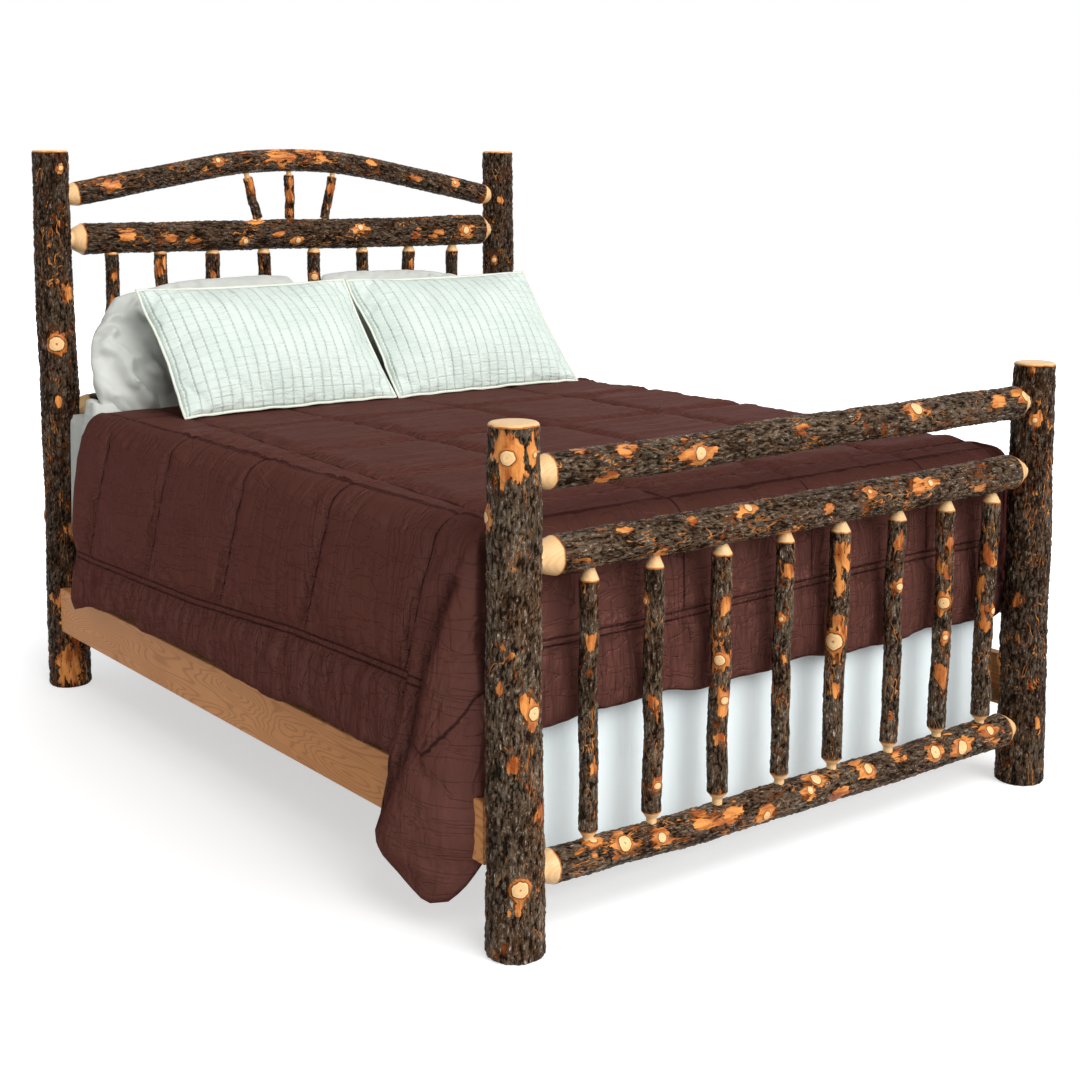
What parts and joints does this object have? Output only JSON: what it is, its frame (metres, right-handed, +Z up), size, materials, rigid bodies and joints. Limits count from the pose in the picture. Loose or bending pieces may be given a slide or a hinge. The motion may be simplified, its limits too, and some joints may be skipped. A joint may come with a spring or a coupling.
{
  "type": "rustic log bed",
  "caption": "Queen-size log bed with barked posts and rails, arched spindle headboard, low spindle footboard, board side rails, and brown and pale bedding.",
  "frame": {"origin": "on the floor, under the middle of the bed, halfway between the posts both ways", "axes": "+Z up, +Y along the bed to the headboard, +X to the right as seen from the footboard"},
  "size_m": [1.7006, 2.308, 1.545],
  "materials": {
    "bark_log": "varnished bark with pale shaved ends and knots",
    "rail_wood": "satin varnished board",
    "slat_wood": "plain sawn softwood",
    "plate_steel": "zinc plated pressing",
    "screw_steel": "zinc plated",
    "ticking": "white quilted ticking",
    "white_cloth": "plain white cotton",
    "skirt_cloth": "pale blue cotton with a faint stitched band",
    "comforter_cloth": "chocolate brown sateen, box quilted",
    "sham_cloth": "pale mint cotton with rows of running stitch"
  },
  "bodies": {
    "bed": {"foot_post_left": "bark_log", "foot_post_right": "bark_log", "head_post_left": "bark_log", "head_post_right": "bark_log", "foot_top_rail": "bark_log", "foot_mid_rail": "bark_log", "foot_bottom_rail": "bark_log", "head_arch_rail": "bark_log", "head_mid_rail": "bark_log", "head_lower_rail": "bark_log", "foot_spindle_1": "bark_log", "foot_spindle_2": "bark_log", "foot_spindle_3": "bark_log", "foot_spindle_4": "bark_log", "foot_spindle_5": "bark_log", "foot_spindle_6": "bark_log", "foot_spindle_7": "bark_log", "foot_spindle_8": "bark_log", "head_spindle_1": "bark_log", "head_spindle_2": "bark_log", "head_spindle_3": "bark_log", "head_spindle_4": "bark_log", "head_spindle_5": "bark_log", "head_spindle_6": "bark_log", "head_spindle_7": "bark_log", "head_spindle_8": "bark_log", "head_fan_left": "bark_log", "head_fan_centre": "bark_log", "head_fan_right": "bark_log", "side_rail_left": "rail_wood", "side_rail_right": "rail_wood", "cleat_left": "slat_wood", "cleat_right": "slat_wood", "slat_1": "slat_wood", "slat_2": "slat_wood", "slat_3": "slat_wood", "slat_4": "slat_wood", "slat_5": "slat_wood", "hook_plate_foot_left": "plate_steel", "hook_plate_foot_right": "plate_steel", "hook_plate_head_left": "plate_steel", "hook_plate_head_right": "plate_steel", "slot_plate_foot_left": "plate_steel", "slot_plate_foot_right": "plate_steel", "slot_plate_head_left": "plate_steel", "slot_plate_head_right": "plate_steel", "hook_plate_screws": "screw_steel", "slot_plate_screws": "screw_steel", "cleat_screws": "screw_steel", "slat_screws": "screw_steel", "box_spring": "ticking", "mattress": "ticking", "bed_skirt": "skirt_cloth", "top_sheet": "white_cloth", "comforter": "comforter_cloth"},
    "pillow_left_body": {"pillow_left": "white_cloth"},
    "pillow_right_body": {"pillow_right": "white_cloth"},
    "sham_left_body": {"sham_left": "sham_cloth"},
    "sham_right_body": {"sham_right": "sham_cloth"}
  },
  "joints": [
    {"name": "pillow_left_lift", "type": "slide", "parent": "bed", "child": "pillow_left_body", "axis": [0, -0.4226, 0.9063], "range_m": [0, 0.4]},
    {"name": "sham_left_lift", "type": "slide", "parent": "pillow_left_body", "child": "sham_left_body", "axis": [0, 0, 1], "range_m": [0, 0.4]},
    {"name": "pillow_right_lift", "type": "slide", "parent": "bed", "child": "pillow_right_body", "axis": [0, -0.4226, 0.9063], "range_m": [0, 0.4]},
    {"name": "sham_right_lift", "type": "slide", "parent": "pillow_right_body", "child": "sham_right_body", "axis": [0, 0, 1], "range_m": [0, 0.4]}
  ]
}
